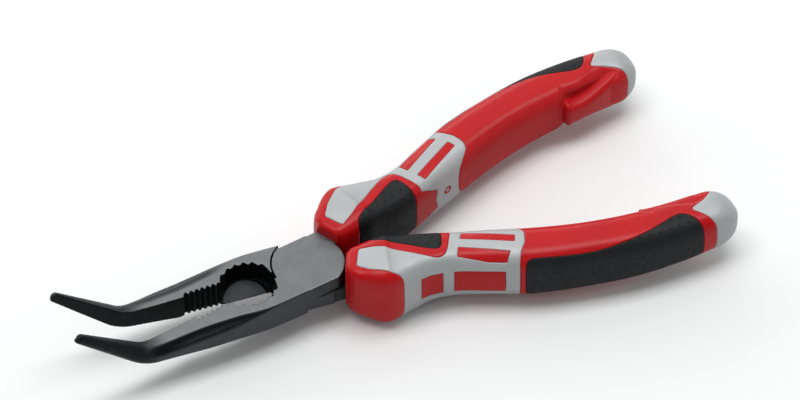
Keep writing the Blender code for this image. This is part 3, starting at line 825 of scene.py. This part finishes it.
def jaw_stations():
    """(r, height, tilt, section) along the jaw's centre line, from the pivot to the tip."""
    stations = []
    for r in np.linspace(0, BEND_START, 34):
        section = at(JAW_ROWS, r)[0]
        stations.append((r, section[1] - section[2] / 2, 0.0, section))
    r, height, _, root = stations[-1]
    bend = math.radians(NOSE_ANGLE)
    total = BEND_RADIUS * bend + NOSE_LENGTH

    def narrowed(run):
        section = root.copy()
        section[0] += (NOSE_TIP[0] - root[0]) * run / total
        section[2] += (NOSE_TIP[1] - root[2]) * run / total
        turned = ease(run, 0.0, NOSE_ROUND_RUN)
        width, depth = section[0], section[2]
        full = np.array((0.8 * width, 0.46 * depth, 0.8 * width, 0.46 * depth, 1.0))
        section[3:] = root[3:] + (full - root[3:]) * turned
        return section

    for i in range(1, 15):
        tilt = bend * i / 14
        stations.append((
            r + BEND_RADIUS * math.sin(tilt), height + BEND_RADIUS * (1 - math.cos(tilt)),
            tilt, narrowed(BEND_RADIUS * tilt),
        ))
    r, height = stations[-1][:2]
    runs = [(NOSE_LENGTH * i / 12, 1.0) for i in range(1, 12)]
    for before_tip, share in ((0.9, 1.0), (0.45, 0.93), (0.15, 0.78), (0.0, 0.5)):
        runs.append((NOSE_LENGTH - before_tip, share))
    for run, share in runs:
        section = narrowed(BEND_RADIUS * bend + run)
        section[:7] *= share
        stations.append((r + run * math.cos(bend), height + run * math.sin(bend), bend, section))
    return stations


def jaw(name, side):
    """The closed jaw's plain form."""
    rings = []
    for r, height, tilt, section in jaw_stations():
        rings.append([
            (-r + up * math.sin(tilt), side * v, height + up * math.cos(tilt))
            for v, up in jaw_section(section)
        ])
    return loft(name, rings)


def zigzag(start, end, teeth, depth, base):
    """A line of pointed teeth: crests stand at the base curve and roots lie deeper."""
    steps = 6
    points = []
    for i in range(2 * teeth * steps + 1):
        t = i / (2 * steps)
        r = start + (end - start) * t / teeth
        points.append((r, base(r) + depth * (1 - abs(2 * (t % 1) - 1))))
    return points


def jaw_cutter(name, side, line, low, slope=0.0):
    """Cuts from the closing plane out to the line, above a floor that may slope up outwards."""
    outline = [(-r, side * v) for r, v in line] + [(-line[-1][0], -side), (-line[0][0], -side)]
    rings = [
        [(x, y, low + slope * max(0.0, y * side)) for x, y in outline],
        [(x, y, JOINT_THICKNESS + 1) for x, y in outline],
    ]
    return loft(name, rings)


def relief_cutter(name, side):
    """The bevel along the lower inner edge of a jaw."""
    corners = (
        (RELIEF_START, -1.0), (RELIEF_END, -1.0), (RELIEF_END, RELIEF_WIDTH), (RELIEF_START, RELIEF_WIDTH),
    )
    slope = RELIEF_HEIGHT / RELIEF_WIDTH
    rings = [
        [(-r, side * v, -1.0) for r, v in corners],
        [(-r, side * v, RELIEF_HEIGHT - slope * v) for r, v in corners],
    ]
    return loft(name, rings)


def pipe_arc(r):
    """How deep the pipe grip's arc is."""
    share = (r - PIPE_GRIP_CENTRE) / PIPE_GRIP_REACH
    return PIPE_GRIP_DEPTH * math.sqrt(max(0.0, 1 - share * share))


def jaw_cutters(side):
    """What is cut out of a jaw: fine teeth, pipe grip, side cutter and relief."""
    fine = zigzag(
        FINE_TEETH_START, FINE_TEETH_END, FINE_TEETH, FINE_TOOTH_DEPTH,
        lambda r: JAW_FACE_GAP + FINE_TOOTH_RECESS,
    )
    pipe = zigzag(
        PIPE_GRIP_CENTRE - PIPE_GRIP_REACH, PIPE_GRIP_CENTRE + PIPE_GRIP_REACH, PIPE_TEETH,
        PIPE_TOOTH_DEPTH, lambda r: pipe_arc(r) - PIPE_TOOTH_DEPTH / 2,
    )
    smooth_arc = []
    for t in np.linspace(0, math.pi, 60):
        r = CUTTER_CENTRE - CUTTER_REACH * math.cos(t)
        smooth_arc.append((r, CUTTER_DEPTH * max(0.0, math.sin(t))))
    return (
        jaw_cutter("fine teeth", side, fine, -1.0),
        jaw_cutter("pipe grip", side, pipe, PIPE_FLOOR),
        jaw_cutter("side cutter", side, smooth_arc, CUTTER_EDGE_HEIGHT, CUTTER_SLOPE),
        relief_cutter("relief", side),
    )


def tang_part(name, run, side, low, high):
    """A bar along the grip's spine, or along the tang's own middle line before the collar."""
    edges = ([], [])
    for x in np.linspace(*run, 14):
        y = at(TANG_ROWS, x)[0, 0] if x < GRIP_ROWS[1][0] else at(GRIP_ROWS, x)[0, 0]
        half = at(TANG_ROWS, x)[0, 1]
        edges[0].append((x, (y - half) * side))
        edges[1].append((x, (y + half) * side))
    return prism(name, edges[0] + edges[1][::-1], low, high)


def eased(body, name, material):
    """The finished form as one fine, even mesh with eased edges."""
    remesh = body.modifiers.new("remesh", "REMESH")
    remesh.mode = "VOXEL"
    remesh.voxel_size = LEVER_VOXEL * MM
    soften = body.modifiers.new("soften", "SMOOTH")
    soften.factor = 0.5
    soften.iterations = 2
    bpy.context.view_layer.update()
    evaluated = body.evaluated_get(bpy.context.evaluated_depsgraph_get())
    mesh = bpy.data.meshes.new_from_object(evaluated)
    mesh.name = name
    mesh.materials.clear()
    mesh.materials.append(material)
    mesh.shade_smooth()
    obj = bpy.data.objects.new(name, mesh)
    bpy.context.scene.collection.objects.link(obj)
    return obj


def lever(name, jaw_side, lap_low, lap_high, material):
    """A forged half in one piece: jaw, lap and tang."""
    turn = Matrix.Rotation(math.radians(-jaw_side * OPEN_ANGLE), 4, "Z")
    body = jaw(f"{name}_form", jaw_side)
    body.data.transform(turn)
    is_upper = lap_high > MID
    cleared = (-1.0, lap_low + APART) if is_upper else (lap_high - APART, JOINT_THICKNESS + 1)
    clearance = [(LAP_RADIUS + LAP_GAP, z) for z in cleared]
    combine(body, "DIFFERENCE", revolved("clearance", clearance, 160))
    for part in (
        lap_plate("lap", -jaw_side * math.radians(OPEN_ANGLE), lap_low, lap_high),
        tang_part("lap tang", LAP_TANG, -jaw_side, lap_low + 2 * APART, lap_high - 2 * APART),
        tang_part("tang bar", TANG_BAR, -jaw_side, MID - TANG_HALF_THICKNESS, MID + TANG_HALF_THICKNESS),
    ):
        combine(body, "UNION", part)
    for cutter in jaw_cutters(jaw_side):
        cutter.data.transform(turn)
        combine(body, "DIFFERENCE", cutter)
    if not is_upper:
        hole = RIVET_RADIUS + RIVET_HOLE_PLAY
        combine(body, "DIFFERENCE", revolved("countersunk hole", (
            (RIVET_HEAD_RADIUS + 0.5, -0.6), (RIVET_HEAD_RADIUS + 0.1, -0.05), (hole, RIVET_HEAD_HEIGHT),
            (hole, JOINT_THICKNESS + 1),
        ), 96))
    made = eased(body, name, material)
    tone_lever(made.data, jaw_side, turn)
    return made


def tone_lever(mesh, jaw_side, turn):
    """Marks which faces are ground bright, and where shade is painted: hollow flanks, inner faces, teeth,
    in under the collars and on the noses.
    """
    co = np.zeros(len(mesh.vertices) * 3, np.float32)
    mesh.vertices.foreach_get("co", co)
    back = np.array(turn.inverted().to_3x3())
    p = co.reshape(-1, 3).astype(float) @ back.T / MM
    n = vertex_normals(mesh).astype(float) @ back.T
    r, v, z = -p[:, 0], p[:, 1] * jaw_side, p[:, 2]
    outward, upward = n[:, 1] * jaw_side, n[:, 2]
    section = at(JAW_ROWS, np.clip(r, 0, BEND_START))
    edge, top = section[:, 0] - section[:, 3], section[:, 1]
    down = top - z
    level_top = ease(upward, 0.72, 0.93) * ease(z, top - 0.5, top - 0.15)
    before_bend = 1 - ease(r, BEND_START - 5.0, BEND_START + 3.0)
    ground = level_top * before_bend * (1 - ease(v, edge, edge + 0.5) * (r > 18))
    # The hollow below the outer edge gets painted shade in a strip that comes to a point near the lap
    reach = SHADE_BAND_DEPTH * ease(r, 12.0, 34.0)
    shade_band = ease(down, 0.1, 0.6) * (1 - ease(down, 0.55 * reach, reach + 0.3)) * ease(outward, 0.05, 0.25)
    shade_band *= ease(r, 12.0, 15.0) * (1 - ease(r, BEND_START - 1.0, BEND_START + 12.0))
    if jaw_side == REAR:
        # On this jaw shade is painted on the top in a strip well inside the outer edge, dimming the ground
        # tone there; only its lip stays bright
        shade_streak = ease(v, edge - 2.4, edge - 0.9) * (1 - ease(v, edge + 0.1, edge + 0.9))
        shade_streak *= ease(r, 22.0, 31.0) * (1 - ease(r, BEND_START - 4.0, BEND_START + 6.0))
        shade_streak *= ease(upward, 0.72, 0.93)
        ground = ground * (1 - 0.8 * shade_streak)
        shade_band = np.maximum(shade_band * (1 - ease(upward, 0.5, 0.9)), 0.55 * shade_streak)
    # Painted shade on the inner faces where the jaws face each other
    inner = ease(-outward, 0.2, 0.5) * (r > 9) * (v < 8.0)
    painted_shade = np.maximum(shade_band * 0.95, inner * 0.95)
    # Painted shade in the opening behind the teeth, lighter on the side cutter's bevel
    opening = (abs(v) < OPENING_HALF_WIDTH) & (r > OPENING_START) & (r < OPENING_END)
    opening &= (down > 0.5) & (z > OPENING_LOW)
    on_bevel = np.hypot((r - CUTTER_CENTRE) / CUTTER_REACH, v / CUTTER_DEPTH) < 0.985
    on_bevel &= (z < BEVEL_TOP) & (upward > 0.3)
    painted_shade = np.where(opening, np.where(on_bevel, 0.45, 1.0), painted_shade)
    # Painted shadow on the steel in under the collars, off its ground top faces
    painted_shade = np.maximum(painted_shade, 0.9 * ease(-r, 2.0, 10.0) * (1 - level_top))
    # Painted shade on the noses, deeper on their outward faces
    nose = ease(r, BEND_START - 2.0, BEND_START + 6.0)
    painted_shade = np.maximum(painted_shade, (0.45 + 0.4 * ease(outward, 0.1, 0.5)) * nose)
    store(mesh, "ground", ground)
    store(mesh, "painted_shade", painted_shade)


def rivet(name, material):
    """The rivet, ground flush on top, with its countersunk head on the underside."""
    top, rim = JOINT_THICKNESS + 0.01, RIVET_RADIUS - RIVET_SHRINK
    profile = (
        (2.4, top), (rim - 0.25, top), (rim - 0.08, top - 0.015), (rim, top - 0.09),
        (rim, top - 0.3), (rim, RIVET_HEAD_HEIGHT), (RIVET_HEAD_RADIUS - 0.05, 0.25),
        (RIVET_HEAD_RADIUS - 0.12, 0.08), (RIVET_HEAD_RADIUS - 0.5, 0.02), (2.4, 0.02),
    )
    segments = 128
    turns = np.linspace(0, 2 * math.pi, segments, endpoint=False)
    grid = np.array([
        np.stack([r * np.cos(turns), r * np.sin(turns), np.full(segments, z)], axis=1) for r, z in profile
    ])
    faces = grid_triangles(len(profile), segments)[:, ::-1]
    points = np.concatenate([grid.reshape(-1, 3), [(0, 0, top), (0, 0, profile[-1][1])]])
    ring = np.arange(segments)
    after, last = np.roll(ring, -1), (len(profile) - 1) * segments
    top_fan = np.stack([np.full(segments, len(points) - 2), ring, after], axis=1)
    low_fan = np.stack([np.full(segments, len(points) - 1), after + last, ring + last], axis=1)
    obj = mesh_object(name, points, np.concatenate([faces, top_fan, low_fan]), material)
    store(obj.data, "ground", np.ones(len(points)))
    store(obj.data, "painted_shade", np.zeros(len(points)))
    return obj


# ---------------------------------------------------------------- the object

steel = steel_material()
red, silver, black = red_material(), silver_material(), black_material()
upper_lap = (MID + LAP_GAP / 2, JOINT_THICKNESS)
lower_lap = (0.0, MID - LAP_GAP / 2)

for letter, jaw_side, lap in (("a", FRONT, upper_lap), ("b", REAR, lower_lap)):
    piece = lever(f"forged_lever_{letter}", jaw_side, *lap, steel)
    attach(piece, f"lever_{letter}_side")
    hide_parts(f"lever_{letter}")

pin = rivet("flush_rivet", steel)
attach(pin, "lever_a_side")
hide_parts("pivot_rivet")

for obj in list(tools.objects):
    bpy.data.objects.remove(obj)
bpy.data.collections.remove(tools)

# The material, the slot and the CAD node of each kind of moulded piece
kinds = {
    "sleeve": (red, "red_grip", "grip_sleeve"),
    "frame": (silver, "silver_grip", "grip_frame"),
    "thumb_pad": (black, "black_grip", "thumb_pad"),
    "palm_pad": (black, "black_grip", "palm_pad"),
    "end_cap": (silver, "silver_grip", "end_cap"),
}
pieces = grip_pieces()
lug_points, lug_faces = lug_surface()
for letter, side in (("a", REAR), ("b", FRONT)):
    flip = np.array((1.0, side, 1.0))
    for kind, points, faces, skin in pieces:
        material, slot, node = kinds[kind]
        if side == FRONT:
            faces = faces[:, ::-1]
        piece = mesh_object(f"moulded_{kind}_{letter}", points * flip, faces, material)
        if kind.endswith("pad"):
            store(piece.data, "skin", skin, "FLOAT_VECTOR")
        if kind == "sleeve":
            inward = -side * vertex_normals(piece.data)[:, 1]
            store(piece.data, "eroded", ease(inward, 0.35, 0.75) * ease(points[:, 0], 40.0, 50.0))
        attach(piece, f"lever_{letter}_side")
        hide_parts(f"{node}_{letter}")
    faces = lug_faces if side == FRONT else lug_faces[:, ::-1]
    lug = mesh_object(f"tether_lug_{letter}", lug_points * flip, faces, red)
    store(lug.data, "eroded", np.full(len(lug_points), 0.3))
    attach(lug, f"lever_{letter}_side")


# ---------------------------------------------------------------- stage, in metres

FLOOR_GAP = 0.0004
FLOOR_HALF_SIZE = 3.0
LIGHTS_AIM = (0.03, 0.0, 0.0)
WORLD_STRENGTH = 0.35
# The camera looks down from the front left, a long way off
AZIMUTH, ELEVATION, ROLL = math.radians(-25.175), math.radians(47.231), math.radians(-0.663)
CAMERA_AIM = (0.0301, 0.0005, 0.0220)
CAMERA_DISTANCE = 1.6
CAMERA_LENS = 243.8


def area_light(name, place, size, power):
    """A white panel that faces the pliers."""
    light = bpy.data.lights.new(name, "AREA")
    light.shape = "RECTANGLE"
    light.size, light.size_y = size
    light.energy = power
    obj = bpy.data.objects.new(name, light)
    obj.location = place
    obj.rotation_mode = "QUATERNION"
    obj.rotation_quaternion = (Vector(LIGHTS_AIM) - Vector(place)).to_track_quat("-Z", "Y")
    bpy.context.scene.collection.objects.link(obj)


bm = bmesh.new()
bmesh.ops.create_grid(bm, x_segments=8, y_segments=8, size=FLOOR_HALF_SIZE)
floor_mesh = bpy.data.meshes.new("studio_floor")
bm.to_mesh(floor_mesh)
bm.free()
floor = bpy.data.objects.new("studio_floor", floor_mesh)
floor.location = (0, 0, cad_low.z - FLOOR_GAP)
floor_mesh.materials.append(floor_material())
bpy.context.scene.collection.objects.link(floor)

area_light("key", (0.05, 0.12, 1.00), (1.3, 0.40), 9.0)
area_light("fill", (-0.4, -0.7, 0.9), (1.2, 0.9), 0.5)
area_light("far_side", (0.35, 0.80, 0.90), (1.2, 0.8), 2.6)
area_light("low_side", (0.88, -0.36, 0.42), (0.22, 0.5), 0.7)
area_light("back", (-0.15, 0.95, 0.45), (1.6, 0.3), 4.5)

world = bpy.data.worlds.new("studio")
world.use_nodes = True
background = world.node_tree.nodes["Background"]
background.inputs["Color"].default_value = (1, 1, 1, 1)
background.inputs["Strength"].default_value = WORLD_STRENGTH
bpy.context.scene.world = world
bpy.context.scene.view_settings.view_transform = "Standard"

back = Vector((
    math.sin(AZIMUTH) * math.cos(ELEVATION), -math.cos(AZIMUTH) * math.cos(ELEVATION), math.sin(ELEVATION),
))
right = Vector((math.cos(AZIMUTH), math.sin(AZIMUTH), 0))
up = back.cross(right)
turned_right = right * math.cos(ROLL) + up * math.sin(ROLL)
turned_up = up * math.cos(ROLL) - right * math.sin(ROLL)
camera_data = bpy.data.cameras.new("camera")
camera = bpy.data.objects.new("camera", camera_data)
bpy.context.scene.collection.objects.link(camera)
camera.matrix_world = Matrix.Translation(Vector(CAMERA_AIM) + back * CAMERA_DISTANCE) @ (
    Matrix((turned_right, turned_up, back)).transposed().to_4x4()
)
camera_data.sensor_width = 36.0
camera_data.lens = CAMERA_LENS
camera_data.clip_start = 0.05
camera_data.clip_end = 20.0
bpy.context.scene.camera = camera
